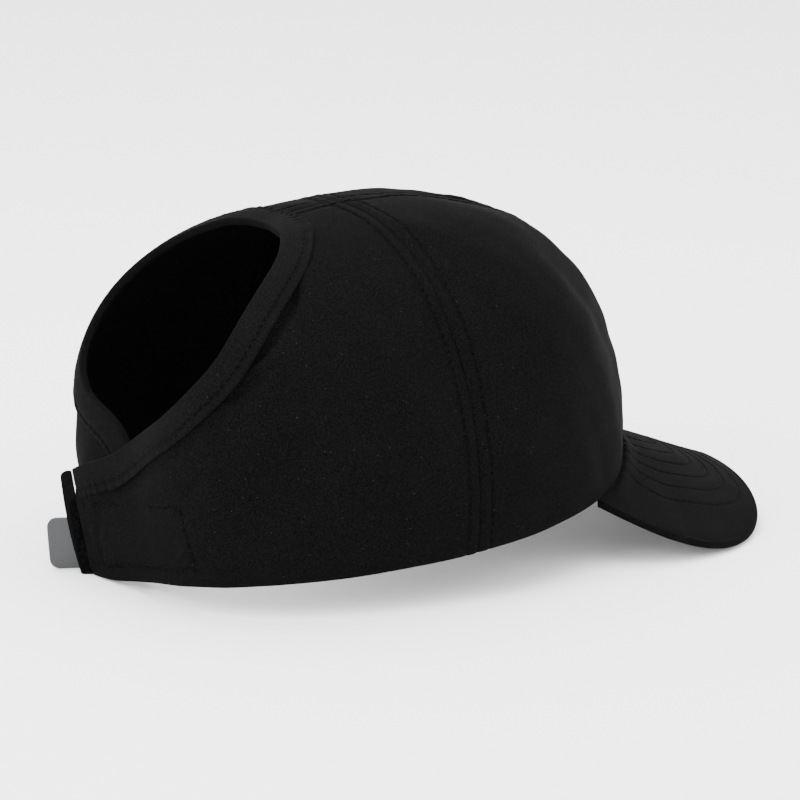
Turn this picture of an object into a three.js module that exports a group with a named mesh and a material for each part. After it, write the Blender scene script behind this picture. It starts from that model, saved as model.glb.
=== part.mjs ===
// Ponytail baseball cap: four crown panels, a curved bill, a bound opening at the back
// and an overlapping rear closure that ends in a soft pull tab.
// Millimetres. The front faces -Y, the wearer's right is -X and up is +Z.
// The cap lies on z = 0, on the tips of its bill and the back of its rim.
import * as THREE from 'three';
import { mergeVertices } from 'three/addons/utils/BufferGeometryUtils.js';

// Crown
const rimRadius = 96;
const crownHeight = 112.8;
const frontLift = 9;
const bellyDepth = 9;
const keelDepth = 5.5;
const keelSpread = 40.6;
const keelFoot = 1.1;
const keelFade = 0.7;
const riseEase = 0.12;
const apexBack = 2.7;
const sideSeamTurn = 85.6;
const sideSeamLean = 7.5;
const sideSeamMiddle = 0.4;
const clothWall = 1.4;
const seamGap = 0.3;
const restTilt = 4.33;

// Bill
const billTurn = 46.8;
const billWidth = 158;
const billLength = 50;
const billThickness = 3;
const billDroop = 20.8;
const billCurl = 2.15;
const billSlope = 0.46;
const billSeat = 0.5;

// Binding of the opening
const bindingWidth = 10.5;
const bindingInnerWidth = 7;
const bindingCloth = 0.8;
const bindingGap = 0.65;

// Rear closure
const flapLift = 5.2;
const flapShare = 0.6;
const flapFrom = 140;
const flapFull = 174;
const flapFlat = 0.34;
const flapTopRise = 0.6;
const flapFlare = 6.5;
const flareFrom = 166;
const flareFull = 190;
const flapDrop = 5.6;
const dropFrom = 162;
const dropFull = 200;
const dropRise = 0.3;
const layerGap = 0.4;
const tapeCloth = 0.9;
const tapeLength = 52;
const tapeReach = 2.2;
const facingCloth = 0.9;
const facingReach = 3.9;
const facingFootReach = 3;
const facingTop = 28;
const endSplay = 58;
const closureHeight = 22;
const closureHem = 0.3;
const tabLength = 25.5;
const tabSplay = 53;
const tabBend = 5;
const tabFoot = 8;
const tabHeight = 16.5;
const tabThickness = 1.2;
const tabCorner = 3;
const tabGap = 0.9;

// One row per section of the crown, from the front (turn 0) round to the back (180).
// reach is a share of rimRadius, belly of bellyDepth and lift of frontLift; arch and dome
// say how square the upright run of the section and its top are.
const crownRows = [
  { turn: 0, reach: 1.097, belly: 0, lift: 1, arch: 2.21, dome: 2.47 },
  { turn: 30, reach: 1.012, belly: 0, lift: 0.66, arch: 2.56, dome: 2.52 },
  { turn: 60, reach: 0.917, belly: -0.09, lift: 0.56, arch: 2.41, dome: 2.51 },
  { turn: 90, reach: 0.837, belly: 0.08, lift: 0.28, arch: 2.16, dome: 2.47 },
  { turn: 120, reach: 0.887, belly: 0.68, lift: 0.26, arch: 2.28, dome: 2.51 },
  { turn: 150, reach: 1, belly: 1.07, lift: 0.12, arch: 2.53, dome: 2.47 },
  { turn: 180, reach: 0.947, belly: 0.2, lift: -0.4, arch: 2.49, dome: 2.27 },
];

// The opening's edge, from the top corner of the flap to the centre-back seam. rise runs
// from 0 at the rim to 1 at the apex.
const flapFootTurn = 187;
const openingRows = [
  { turn: 190.6, rise: 0.262 },
  { turn: 179.8, rise: 0.304 },
  { turn: 171.2, rise: 0.34 },
  { turn: 160.7, rise: 0.378 },
  { turn: 152.1, rise: 0.426 },
  { turn: 146.3, rise: 0.492 },
  { turn: 143.4, rise: 0.61 },
  { turn: 148.6, rise: 0.694 },
  { turn: 159.6, rise: 0.712 },
  { turn: 180, rise: 0.705 },
];

// Mesh steps
const frontCols = 10;
const frontRows = 14;
const backCols = 14;
const flapRows = 4;
const edgeRows = 24;
const seamRows = 3;
const billCols = 24;
const billRows = 6;
const layerRows = 6;
const planStep = 0.01;
const riseStep = 0.002;

// Where the layers of the closure have their mesh columns: shares of the length under the
// flap (below 0) and of the reach beyond its end, and the share where the top steps up.
const layerStops = [-1, -0.75, -0.5, -0.3, -0.15, 0, 0.4, 0.55, 1];
const layerStep = 0.5;

// The tab's columns: shares of its foot and of its free length, and angles of its corners.
const tabStops = { foot: [0, 0.5, 1], rest: [0.15, 0.3, 0.5, 0.75, 1], corner: [30, 60, 90] };

const { degToRad, smoothstep, lerp } = THREE.MathUtils;

function cubic(a, b, c, d, s) {
  return b + 0.5 * s * (c - a + s * (2 * a - 5 * b + 4 * c - d + s * (3 * (b - c) + d - a)));
}

function sideTurn(turn) {
  return Math.abs(THREE.MathUtils.euclideanModulo(turn + 180, 360) - 180);
}

// A column of the crown's table at any turn, alike on both sides of the cap.
function columnAt(column, turn) {
  const last = crownRows.length - 1;
  const place = sideTurn(turn) / 180 * last;
  const row = Math.min(Math.floor(place), last - 1);
  const value = (k) => crownRows[last - Math.abs(last - Math.abs(k))][column];
  return cubic(value(row - 1), value(row), value(row + 1), value(row + 2), place - row);
}

// Reach and height of the section at a turn. The rise is eased so that equal steps of it
// are close to equal lengths along the cloth.
function section(turn, rise) {
  const swing = Math.PI / 2 * (rise - riseEase * Math.sin(2 * Math.PI * rise));
  const across = Math.max(Math.cos(swing), 0);
  const up = Math.max(Math.sin(swing), 0);
  const lobe = Math.max(Math.sin(2 * swing), 0);
  const keel = keelDepth * Math.max(1 - sideTurn(turn) / keelSpread, 0) ** 2;
  const foot = frontLift * columnAt('lift', turn);
  return new THREE.Vector2(
    rimRadius * columnAt('reach', turn) * across ** (2 / columnAt('arch', turn))
      + bellyDepth * columnAt('belly', turn) * lobe * across
      + keel * (keelFoot * across * across + lobe ** keelFade),
    foot + (crownHeight - foot) * up ** (2 / columnAt('dome', turn)),
  );
}

// A point of the crown, set in from its outer face by depth, within its own section.
function crownPoint(turn, rise, depth = 0) {
  const low = section(turn, Math.max(rise - riseStep, 0));
  const along = section(turn, Math.min(rise + riseStep, 1)).sub(low).normalize();
  const at = section(turn, rise).addScaledVector(new THREE.Vector2(along.y, -along.x), -depth);
  const angle = degToRad(turn);
  return new THREE.Vector3(-at.x * Math.sin(angle), -at.x * Math.cos(angle) + apexBack, at.y);
}

// The side seam leans forward as it climbs.
function seamTurn(rise) {
  return sideSeamTurn + sideSeamLean * (sideSeamMiddle - rise);
}

// Where the flaps overlap the right one stands out and the left one in. The right one's
// stiff end also flares away from the head.
function flapOffset(turn, rise, side) {
  const round = smoothstep(turn, flapFrom, flapFull);
  const low = 1 - smoothstep(rise, flapFlat, flapTopRise);
  const end = flapFlare * smoothstep(turn, flareFrom, flareFull);
  return low * (side > 0 ? flapLift * flapShare * round + end : flapLift * (flapShare - 1) * round);
}

// A point of the cloth as it lies: the crown, lifted at the flaps, with the right flap's
// end hanging a little below the rim.
function clothPoint(turn, rise, depth, side) {
  const point = crownPoint(turn, rise, depth - flapOffset(turn, rise, side));
  const low = Math.max(1 - rise / dropRise, 0);
  if (side > 0) point.z -= flapDrop * low * smoothstep(turn, dropFrom, dropFull);
  return point;
}

// The plan of the crown is a disc with the rim as its edge and the apex at its centre.
function toPlan(turn, rise) {
  const angle = degToRad(turn);
  return new THREE.Vector3((1 - rise) * Math.cos(angle), (1 - rise) * Math.sin(angle), 0);
}

function fromPlan(spot) {
  const turn = THREE.MathUtils.radToDeg(Math.atan2(spot.y, spot.x));
  return { turn: turn < 0 ? turn + 360 : turn, rise: 1 - Math.hypot(spot.x, spot.y) };
}

const openingEdge = new THREE.CatmullRomCurve3(
  openingRows.map((row) => toPlan(row.turn, row.rise)), false, 'catmullrom', 0.5,
);
const flapFoot = toPlan(flapFootTurn, 0);
const flapTop = openingEdge.getPointAt(0);
const seamFoot = openingEdge.getPointAt(1);
const backRows = flapRows + edgeRows + seamRows;

// The back panel's rear boundary, up the flap's end, round the opening and up the seam.
function rearEdge(row) {
  if (row <= flapRows) return flapFoot.clone().lerp(flapTop, row / flapRows);
  if (row <= flapRows + edgeRows) return openingEdge.getPointAt((row - flapRows) / edgeRows);
  return seamFoot.clone().multiplyScalar((backRows - row) / seamRows);
}

// The back panel's plan, filled in between its four sides.
function backPlan(col, row) {
  const s = col / backCols;
  const v = row / backRows;
  const left = toPlan(seamTurn(v), v);
  const right = rearEdge(row);
  const rim = toPlan(lerp(seamTurn(0), flapFootTurn, s), 0);
  const corner = toPlan(seamTurn(0), 0).lerp(flapFoot, s);
  return left.lerp(right, s).addScaledVector(rim.sub(corner), 1 - v);
}

// A closed skin over two grids of points, an outer (0) and an inner (1) one.
function closedSkin(cols, rows, place) {
  const points = [];
  const index = [];
  const at = (col, row, face) => (face * (rows + 1) + row) * (cols + 1) + col;
  for (const face of [0, 1]) {
    for (let row = 0; row <= rows; row++) {
      for (let col = 0; col <= cols; col++) points.push(...place(col, row, face).toArray());
    }
  }
  const quad = (a, b, c, d) => index.push(a, b, c, a, c, d);
  for (let row = 0; row < rows; row++) {
    for (let col = 0; col < cols; col++) {
      quad(at(col, row, 0), at(col + 1, row, 0), at(col + 1, row + 1, 0), at(col, row + 1, 0));
      quad(at(col, row, 1), at(col, row + 1, 1), at(col + 1, row + 1, 1), at(col + 1, row, 1));
    }
  }
  for (let col = 0; col < cols; col++) {
    quad(at(col, 0, 1), at(col + 1, 0, 1), at(col + 1, 0, 0), at(col, 0, 0));
    quad(at(col, rows, 0), at(col + 1, rows, 0), at(col + 1, rows, 1), at(col, rows, 1));
  }
  for (let row = 0; row < rows; row++) {
    quad(at(0, row, 0), at(0, row + 1, 0), at(0, row + 1, 1), at(0, row, 1));
    quad(at(cols, row, 1), at(cols, row + 1, 1), at(cols, row + 1, 0), at(cols, row, 0));
  }
  return tidySolid(points, index);
}

// Joins coincident corners, drops the faces that this flattens and turns faces outwards.
function tidySolid(points, index) {
  const raw = new THREE.BufferGeometry();
  raw.setAttribute('position', new THREE.Float32BufferAttribute(points, 3));
  raw.setIndex(index);
  const solid = mergeVertices(raw, 0.001);
  const ids = [...solid.getIndex().array];
  const kept = [];
  for (let k = 0; k < ids.length; k += 3) {
    const [a, b, c] = ids.slice(k, k + 3);
    if (a !== b && b !== c && c !== a) kept.push(a, b, c);
  }
  const corner = (id) => new THREE.Vector3().fromBufferAttribute(solid.getAttribute('position'), id);
  let volume = 0;
  for (let k = 0; k < kept.length; k += 3) {
    volume += corner(kept[k]).dot(corner(kept[k + 1]).cross(corner(kept[k + 2])));
  }
  solid.setIndex(volume < 0 ? kept.reverse() : kept);
  solid.computeVertexNormals();
  return solid;
}

// Mirrors a point to the side that a piece is on: 1 is the wearer's right, -1 the left.
function onSide(point, side) {
  point.x *= side;
  return point;
}

// Moves a panel off its two seams by half the seam's gap.
function offSeams(point, fromTurn, toTurn) {
  const middle = degToRad((fromTurn + toTurn) / 2);
  const shift = seamGap / 2 / Math.sin(degToRad(toTurn - fromTurn) / 2);
  return point.add(new THREE.Vector3(-Math.sin(middle), -Math.cos(middle), 0).multiplyScalar(shift));
}

function frontPanel(side) {
  return closedSkin(frontCols, frontRows, (col, row, face) => {
    const rise = row / frontRows;
    const point = crownPoint(seamTurn(rise) * col / frontCols, rise, face * clothWall);
    return onSide(offSeams(point, 0, sideSeamTurn), side);
  });
}

function backPanel(side) {
  return closedSkin(backCols, backRows, (col, row, face) => {
    const { turn, rise } = fromPlan(backPlan(col, row));
    const around = row === backRows ? seamTurn(1) : turn;
    const point = clothPoint(around, rise, face * clothWall, side);
    return onSide(offSeams(point, sideSeamTurn, 180), side);
  });
}

// The bill grows from under the crown's front edge, curves down to both sides and slopes
// forward. Its outline is a rounded arc that starts at the two ends of the seam.
function billPoint(across, out, face) {
  const root = crownPoint(across * billTurn, 0, clothWall);
  const corner = crownPoint(billTurn, 0, clothWall);
  const front = crownPoint(0, 0, clothWall);
  const sweep = Math.PI - Math.asin(Math.min(Math.abs(corner.x) * 2 / billWidth, 1));
  const length = (corner.y - front.y + billLength) / (1 - Math.cos(sweep));
  const x = lerp(root.x, -billWidth / 2 * Math.sin(across * sweep), out);
  const y = lerp(root.y, corner.y + length * (Math.cos(sweep) - Math.cos(across * sweep)), out);
  const bend = (value) => billDroop * (Math.abs(value) * 2 / billWidth) ** billCurl;
  const z = root.z - billSeat - billSlope * (root.y - y) - bend(x) + bend(root.x);
  return new THREE.Vector3(x, y, z - face * billThickness);
}

function bill() {
  return closedSkin(billCols, billRows, (col, row, face) =>
    billPoint(2 * col / billCols - 1, row / billRows, face));
}

// A point of the crown given by its place in the plan.
function onCrown(spot, depth, side) {
  const { turn, rise } = fromPlan(spot);
  return clothPoint(turn, rise, depth, side);
}

// A stop on the opening's edge, with the step in the plan that leads one millimetre into
// the cloth at right angles to the edge.
function bindingStation(step) {
  const side = step <= edgeRows ? 1 : -1;
  const share = side > 0 ? step / edgeRows : 2 - step / edgeRows;
  const spot = openingEdge.getPointAt(share);
  const along = openingEdge.getTangentAt(share);
  if (step === edgeRows) along.set(-spot.y, spot.x, 0);
  const step1 = new THREE.Vector3(planStep, 0, 0).add(spot);
  const step2 = new THREE.Vector3(0, planStep, 0).add(spot);
  const from = onCrown(spot, 0, side);
  const east = onCrown(step1, 0, side).sub(from).divideScalar(planStep);
  const north = onCrown(step2, 0, side).sub(from).divideScalar(planStep);
  const run = east.clone().multiplyScalar(along.x).addScaledVector(north, along.y);
  const into = east.clone().cross(north).cross(run).normalize();
  const [a, b, c] = [east.dot(east), east.dot(north), north.dot(north)];
  const [p, q] = [into.dot(east), into.dot(north)];
  const inward = new THREE.Vector3(c * p - b * q, a * q - b * p, 0).divideScalar(a * c - b * b);
  return { side, spot, inward };
}

function besideEdge({ side, spot, inward }, width, depth) {
  return onSide(onCrown(spot.clone().addScaledVector(inward, width), depth, side), side);
}

function openingBinding() {
  const inner = clothWall + bindingGap;
  const outline = [
    [-bindingGap - bindingCloth, -bindingGap - bindingCloth],
    [bindingWidth / 2, -bindingGap - bindingCloth],
    [bindingWidth, -bindingGap - bindingCloth],
    [bindingWidth, -bindingGap],
    [bindingWidth / 2, -bindingGap],
    [-bindingGap, -bindingGap],
    [-bindingGap, inner],
    [bindingInnerWidth, inner],
    [bindingInnerWidth, inner + bindingCloth],
    [-bindingGap - bindingCloth, inner + bindingCloth],
  ];
  const stations = 2 * edgeRows;
  const count = outline.length;
  const points = [];
  const index = [];
  for (let step = 0; step <= stations; step++) {
    const station = bindingStation(step);
    for (const [width, depth] of outline) points.push(...besideEdge(station, width, depth).toArray());
  }
  for (let step = 0; step < stations; step++) {
    for (let k = 0; k < count; k++) {
      const a = step * count + k;
      const b = step * count + (k + 1) % count;
      index.push(a, b, b + count, a, b + count, a + count);
    }
  }
  const cap = THREE.ShapeUtils.triangulateShape(outline.map((p) => new THREE.Vector2(...p)), []);
  for (const [a, b, c] of cap) {
    index.push(c, b, a, stations * count + a, stations * count + b, stations * count + c);
  }
  return tidySolid(points, index);
}

// Height above the rim as a rise, and a distance along the cloth as a turn.
function riseOf(height) {
  let low = 0;
  let high = 1;
  for (let k = 0; k < 24; k++) {
    const rise = (low + high) / 2;
    if (section(180, rise).distanceTo(section(180, 0)) < height) low = rise;
    else high = rise;
  }
  return low;
}
const turnPerMillimetre = 1 / (degToRad(1) * section(180, riseOf(closureHeight / 2)).x);

// The flap's end leans: its turn at a rise.
function flapEndTurn(rise) {
  const top = fromPlan(flapTop);
  return lerp(flapFootTurn, top.turn, rise / top.rise);
}

// A layer under the right flap. Past the flap's end it splays away from the head, and it can
// be taller there, where the binding no longer covers its top.
function closureLayer(footReach, reach, depth, thickness, endHeight) {
  const low = riseOf(closureHem);
  return closedSkin(layerStops.length - 1, layerRows, (col, row, face) => {
    const share = layerStops[col];
    const length = share < 0 ? tapeLength : lerp(footReach, reach, row / layerRows);
    const height = share > layerStep ? endHeight : closureHeight;
    const rise = lerp(low, riseOf(height), row / layerRows);
    const turn = flapEndTurn(rise) + share * length * turnPerMillimetre;
    const splay = Math.max(share, 0) * length * Math.tan(degToRad(endSplay));
    return clothPoint(turn, rise, depth + face * thickness - splay, 1);
  });
}

const tapeDepth = clothWall + layerGap;
const facingDepth = tapeDepth + tapeCloth + layerGap;
const tabDepth = facingDepth + facingCloth + tabGap;

function hookTape() {
  return closureLayer(tapeReach, tapeReach, tapeDepth, tapeCloth, closureHeight);
}

function flapFacing() {
  return closureLayer(facingFootReach, facingReach, facingDepth, facingCloth, facingTop);
}

// The tab lies flat under the closure, then bends away from the head past the flap's end.
function pullTab() {
  const middle = riseOf(closureHem + tabHeight / 2);
  const leaveTurn = flapEndTurn(middle);
  const footTurn = leaveTurn - tabFoot * turnPerMillimetre;
  const foot = clothPoint(footTurn, middle, 0, 1);
  const along = clothPoint(leaveTurn, middle, 0, 1).sub(foot).normalize();
  const out = foot.clone().sub(clothPoint(footTurn, middle, 1, 1));
  const flat = tabLength - tabCorner;
  const start = tabStops.foot.map((share) => share * tabFoot);
  const rest = tabStops.rest.map((share) => lerp(tabFoot, flat, share));
  const round = tabStops.corner.map((angle) => flat + tabCorner * Math.sin(degToRad(angle)));
  const stops = [...start, ...rest, ...round];
  const path = [new THREE.Vector3()];
  const lean = (run) => degToRad(tabSplay) * smoothstep(run, tabFoot, tabFoot + tabBend);
  for (let k = 1; k < stops.length; k++) {
    const angle = (lean(stops[k - 1]) + lean(stops[k])) / 2;
    const step = along.clone().multiplyScalar(Math.cos(angle)).addScaledVector(out, Math.sin(angle));
    path.push(step.multiplyScalar(stops[k] - stops[k - 1]).add(path[k - 1]));
  }
  return closedSkin(stops.length - 1, layerRows, (col, row, face) => {
    const past = Math.max(stops[col] - flat, 0);
    const trim = tabCorner - Math.sqrt(tabCorner ** 2 - past ** 2);
    const height = closureHem + tabHeight / 2 + (tabHeight / 2 - trim) * (2 * row / layerRows - 1);
    const angle = lean(stops[col]);
    const point = clothPoint(footTurn, riseOf(height), tabDepth, 1).add(path[col]);
    point.addScaledVector(out, -face * tabThickness * Math.cos(angle));
    return point.addScaledVector(along, face * tabThickness * Math.sin(angle));
  });
}

const black = { color: 0x1c1c1e, roughness: 0.85, metalness: 0 };
const cloth = (name, geometry, look = {}) => {
  const mesh = new THREE.Mesh(geometry, new THREE.MeshStandardMaterial({ ...black, ...look }));
  mesh.name = name;
  return mesh;
};

const cap = new THREE.Group();
cap.add(
  cloth('front_panel_right', frontPanel(1)),
  cloth('front_panel_left', frontPanel(-1)),
  cloth('back_panel_right', backPanel(1)),
  cloth('back_panel_left', backPanel(-1)),
  cloth('bill', bill(), { color: 0x202022 }),
  cloth('opening_binding', openingBinding(), { color: 0x222224, roughness: 0.7 }),
  cloth('hook_tape', hookTape(), { roughness: 1 }),
  cloth('flap_facing', flapFacing()),
  cloth('pull_tab', pullTab(), { color: 0x34373a, roughness: 0.5 }),
);
cap.rotation.x = -degToRad(restTilt);
const extent = new THREE.Box3().setFromObject(cap, true);
const middle = extent.getCenter(new THREE.Vector3());
cap.position.set(-middle.x, -middle.y, -extent.min.z);

const assembly = new THREE.Group();
assembly.add(cap);
export default assembly;
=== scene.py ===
import math
import bpy
import numpy as np
from mathutils import Matrix, Vector
from mathutils.bvhtree import BVHTree


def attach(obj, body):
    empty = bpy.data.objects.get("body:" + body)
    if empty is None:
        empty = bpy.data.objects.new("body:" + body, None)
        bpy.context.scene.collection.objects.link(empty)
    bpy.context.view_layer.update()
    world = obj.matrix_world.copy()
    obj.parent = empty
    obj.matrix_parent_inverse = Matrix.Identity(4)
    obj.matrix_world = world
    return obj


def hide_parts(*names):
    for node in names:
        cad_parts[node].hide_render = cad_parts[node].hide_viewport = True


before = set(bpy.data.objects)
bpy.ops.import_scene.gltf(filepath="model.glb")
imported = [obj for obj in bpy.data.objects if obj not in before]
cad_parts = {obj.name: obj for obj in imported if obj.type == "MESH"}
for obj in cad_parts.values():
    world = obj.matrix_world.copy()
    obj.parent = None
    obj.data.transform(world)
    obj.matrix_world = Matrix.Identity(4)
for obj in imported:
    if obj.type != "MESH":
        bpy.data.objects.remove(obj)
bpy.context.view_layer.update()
print("frame loaded")

# The cap's own pattern, in millimetres and degrees. A turn runs from the centre front (0)
# round to the centre back (180), a rise from the rim (0) to the apex (1).
crown = {
    "rimRadius": 96, "crownHeight": 112.8, "frontLift": 9, "bellyDepth": 9,
    "keelDepth": 5.5, "keelSpread": 40.6, "keelFoot": 1.1, "keelFade": 0.7, "riseEase": 0.12,
    "apexBack": 2.7, "seamTurn": 85.6, "seamLean": 7.5, "seamMiddle": 0.4, "wall": 1.4,
    "restTilt": 4.33, "shift": (0, 22.86, 15.1161),
}
crownColumns = ("reach", "belly", "lift", "arch", "dome")  # every 30 degrees from the front
crownTable = np.array([
    (1.097, 0, 1, 2.21, 2.47),
    (1.012, 0, 0.66, 2.56, 2.52),
    (0.917, -0.09, 0.56, 2.41, 2.51),
    (0.837, 0.08, 0.28, 2.16, 2.47),
    (0.887, 0.68, 0.26, 2.28, 2.51),
    (1, 1.07, 0.12, 2.53, 2.47),
    (0.947, 0.2, -0.4, 2.49, 2.27),
])
# The flaps of the rear closure: lift is the room between them, of which the right, outer flap
# takes its share. The outer one flares from the head and drops towards its end.
flap = {
    "lift": 5.2, "share": 0.6, "fromTurn": 140, "fullTurn": 174, "flatRise": 0.34, "topRise": 0.6,
    "flare": 6.5, "flareFrom": 166, "flareFull": 190,
    "drop": 5.6, "dropFrom": 162, "dropFull": 200, "dropRise": 0.3, "footTurn": 187,
}
# Turns and rises of the opening's edge on the wearer's right (1) and left (-1).
openingTables = {
    1: [(190.6, 0.262), (179.8, 0.304), (171.2, 0.34), (160.7, 0.378), (152.2, 0.428),
        (147, 0.49), (142.8, 0.615), (148.3, 0.696), (159.2, 0.724), (180, 0.728)],
    -1: [(190.6, 0.262), (179.8, 0.304), (170.5, 0.34), (159.2, 0.357), (151, 0.399),
         (147.2, 0.484), (144.8, 0.584), (150.5, 0.685), (159.7, 0.719), (180, 0.728)],
}


def lerp(a, b, share):
    return a + (b - a) * share


def smooth(value, start, end):
    share = np.clip((value - start) / (end - start), 0, 1)
    return share * share * (3 - 2 * share)


def hump(distance, centre, width):
    return np.exp(-((distance - centre) / width) ** 2)


def cubic(a, b, c, d, s):
    return b + 0.5 * s * (c - a + s * (2 * a - 5 * b + 4 * c - d + s * (3 * (b - c) + d - a)))


def sideTurn(turn):
    return np.abs(np.mod(turn + 180, 360) - 180)


def crownValues(turn):
    last = len(crownTable) - 1
    place = sideTurn(turn) / 180 * last
    row = np.minimum(np.floor(place).astype(int), last - 1)
    value = lambda k: crownTable[last - np.abs(last - np.abs(k))]
    share = (place - row)[..., None]
    rows = cubic(value(row - 1), value(row), value(row + 1), value(row + 2), share)
    return {name: rows[..., k] for k, name in enumerate(crownColumns)}


def section(turn, rise):
    swing = math.pi / 2 * (rise - crown["riseEase"] * np.sin(2 * math.pi * rise))
    across = np.maximum(np.cos(swing), 0)
    up = np.maximum(np.sin(swing), 0)
    lobe = np.maximum(np.sin(2 * swing), 0)
    values = crownValues(turn)
    keel = crown["keelDepth"] * np.maximum(1 - sideTurn(turn) / crown["keelSpread"], 0) ** 2
    foot = crown["frontLift"] * values["lift"]
    reach = crown["rimRadius"] * values["reach"] * across ** (2 / values["arch"])
    reach += crown["bellyDepth"] * values["belly"] * lobe * across
    reach += keel * (crown["keelFoot"] * across ** 2 + lobe ** crown["keelFade"])
    return reach, foot + (crown["crownHeight"] - foot) * up ** (2 / values["dome"])


# The crown's outer face, or a layer at some depth below it. step is the rise to either side
# that gives the slope.
def crownPoint(turn, rise, depth=0, step=0.002):
    turn, rise, depth = np.broadcast_arrays(*(np.asarray(x, float) for x in (turn, rise, depth)))
    rise = np.clip(rise, 0, 1)
    lowReach, lowHeight = section(turn, np.maximum(rise - step, 0))
    highReach, highHeight = section(turn, np.minimum(rise + step, 1))
    length = np.maximum(np.hypot(highReach - lowReach, highHeight - lowHeight), 1e-9)
    reach, height = section(turn, rise)
    reach = reach - depth * (highHeight - lowHeight) / length
    height = height + depth * (highReach - lowReach) / length
    angle = np.radians(turn)
    return np.stack([-reach * np.sin(angle), -reach * np.cos(angle) + crown["apexBack"], height], -1)


# How far a panel stands out of the plain crown where the flaps overlap, below 0 for the inner one.
def flapOffset(turn, rise, side):
    around = smooth(turn, flap["fromTurn"], flap["fullTurn"])
    low = 1 - smooth(rise, flap["flatRise"], flap["topRise"])
    if side < 0:
        return low * flap["lift"] * (flap["share"] - 1) * around
    end = flap["flare"] * smooth(turn, flap["flareFrom"], flap["flareFull"])
    return low * (flap["lift"] * flap["share"] * around + end)


# A point of the sewn cap on the wearer's right (side 1) or left (-1).
def clothPoint(turn, rise, depth, side):
    turn, rise = np.broadcast_arrays(np.asarray(turn, float), np.asarray(rise, float))
    point = crownPoint(turn, rise, depth - flapOffset(turn, rise, side))
    if side > 0:
        low = np.maximum(1 - rise / flap["dropRise"], 0)
        point[..., 2] -= flap["drop"] * low * smooth(turn, flap["dropFrom"], flap["dropFull"])
    else:
        point[..., 0] *= -1
    return point


def seamTurn(rise):
    return crown["seamTurn"] + crown["seamLean"] * (crown["seamMiddle"] - rise)


# The plan is a disc with the rim as its edge and the apex as its centre.
def toPlan(turn, rise):
    angle = np.radians(turn)
    return np.stack([(1 - rise) * np.cos(angle), (1 - rise) * np.sin(angle)], -1)


def fromPlan(spot):
    turn = np.degrees(np.arctan2(spot[..., 1], spot[..., 0]))
    return np.where(turn < 0, turn + 360, turn), 1 - np.hypot(spot[..., 0], spot[..., 1])


def lengthsAlong(line):
    return np.concatenate([[0], np.cumsum(np.linalg.norm(np.diff(line, axis=0), axis=1))])


def pointsAlong(line, share):
    lengths = lengthsAlong(line)
    return np.stack([np.interp(share, lengths / lengths[-1], line[:, k]) for k in (0, 1)], -1)


# A smooth curve through the table's points, in the plan.
def openingPlan(table, stepsBetween=80):
    rows = np.array(table, float)
    spots = toPlan(rows[:, 0], rows[:, 1])
    spots = np.vstack([2 * spots[0] - spots[1], spots, 2 * spots[-1] - spots[-2]])
    steps = np.linspace(0, 1, stepsBetween, endpoint=False)[:, None]
    runs = [cubic(*spots[k:k + 4], steps) for k in range(len(rows) - 1)]
    return np.vstack(runs + [spots[-2:-1]])


edgePlans = {side: openingPlan(table) for side, table in openingTables.items()}


def openingAt(share, side=1):
    return pointsAlong(edgePlans[side], share)


def toRow(points):
    angle = -math.radians(crown["restTilt"])
    x, y, z = points[..., 0], points[..., 1], points[..., 2]
    turned = [x, y * math.cos(angle) - z * math.sin(angle), y * math.sin(angle) + z * math.cos(angle)]
    return (np.stack(turned, -1) + np.array(crown["shift"])) / 1000


# Distance of each point to a line of close points, and how far along the line it is.
def beside(points, line, block=4000):
    along = lengthsAlong(line)
    near = np.empty(len(points))
    where = np.empty(len(points))
    for start in range(0, len(points), block):
        gaps = ((points[start:start + block, None] - line[None]) ** 2).sum(2)
        best = gaps.argmin(1)
        near[start:start + block] = np.sqrt(gaps[np.arange(len(gaps)), best])
        where[start:start + block] = along[best]
    return near, where


# Slow rise and fall of soft cloth, from a few crossed waves.
def unevenness(points, size, seed, waves=7):
    rng = np.random.default_rng(seed)
    total = np.zeros(len(points))
    for wave in rng.normal(size=(waves, 3)):
        wave *= (0.6 + 0.8 * rng.random()) * 2 * math.pi / (size * np.linalg.norm(wave))
        total += np.sin(points @ wave + rng.random() * 2 * math.pi)
    return total / waves ** 0.5


def readPoints(piece):
    points = np.empty(len(piece.data.vertices) * 3)
    piece.data.vertices.foreach_get("co", points)
    return points.reshape(-1, 3)


def selectOnly(piece):
    bpy.ops.object.select_all(action="DESELECT")
    piece.select_set(True)
    bpy.context.view_layer.objects.active = piece


# A flat grid laid into its place: place(s, v) gives points in millimetres and the cloth's
# flat pattern, which becomes the UV map.
def shapedGrid(name, cols, rows, place):
    bpy.ops.object.select_all(action="DESELECT")
    bpy.ops.mesh.primitive_grid_add(x_subdivisions=cols, y_subdivisions=rows, size=2)
    piece = bpy.context.object
    piece.name = piece.data.name = name
    spots = readPoints(piece)
    points, flat = place((spots[:, 0] + 1) / 2, (spots[:, 1] + 1) / 2)
    piece.data.vertices.foreach_set("co", toRow(points).ravel())
    corners = np.empty(len(piece.data.loops), np.int32)
    piece.data.loops.foreach_get("vertex_index", corners)
    piece.data.uv_layers[0].data.foreach_set("uv", flat[corners].ravel())
    piece.data.update()
    return piece


def closeUp(piece, fill=True):
    selectOnly(piece)
    bpy.ops.object.mode_set(mode="EDIT")
    bpy.ops.mesh.select_all(action="SELECT")
    bpy.ops.mesh.remove_doubles(threshold=0.000004)
    if fill:
        bpy.ops.mesh.fill_holes(sides=0)
    bpy.ops.mesh.normals_make_consistent(inside=False)
    bpy.ops.object.mode_set(mode="OBJECT")


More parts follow.
